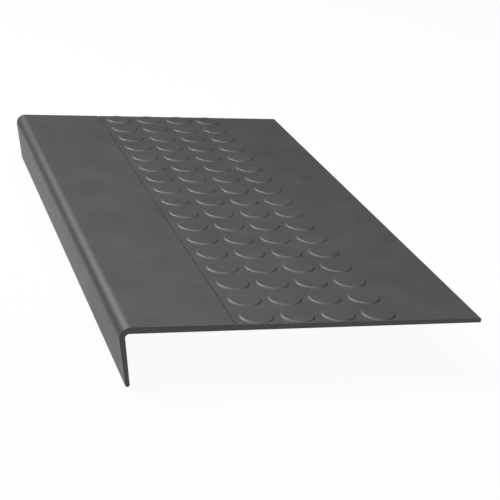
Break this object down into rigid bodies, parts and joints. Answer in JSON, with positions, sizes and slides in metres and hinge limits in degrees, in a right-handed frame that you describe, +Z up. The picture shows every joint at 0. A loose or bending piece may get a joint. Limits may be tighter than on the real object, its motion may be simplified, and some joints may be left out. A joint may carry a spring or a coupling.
{
  "type": "anti slip stair tread mat",
  "caption": "Rubber stair tread mat with a slab that thins towards the back, a rounded nose with a down-turned lip, a straight groove and a square field of low raised round discs.",
  "frame": {"origin": "middle of the flat underside, the face that lies on the top of the step", "axes": "+X from the nose to the back edge, +Y along the step, +Z up out of the discs"},
  "size_m": [0.316, 0.61, 0.0531],
  "materials": {
    "rubber": "dark grey moulded rubber, matt, with a broad soft sheen and faint cloudy mottling"
  },
  "bodies": {
    "root": {"tread_mat": "rubber"}
  },
  "joints": []
}
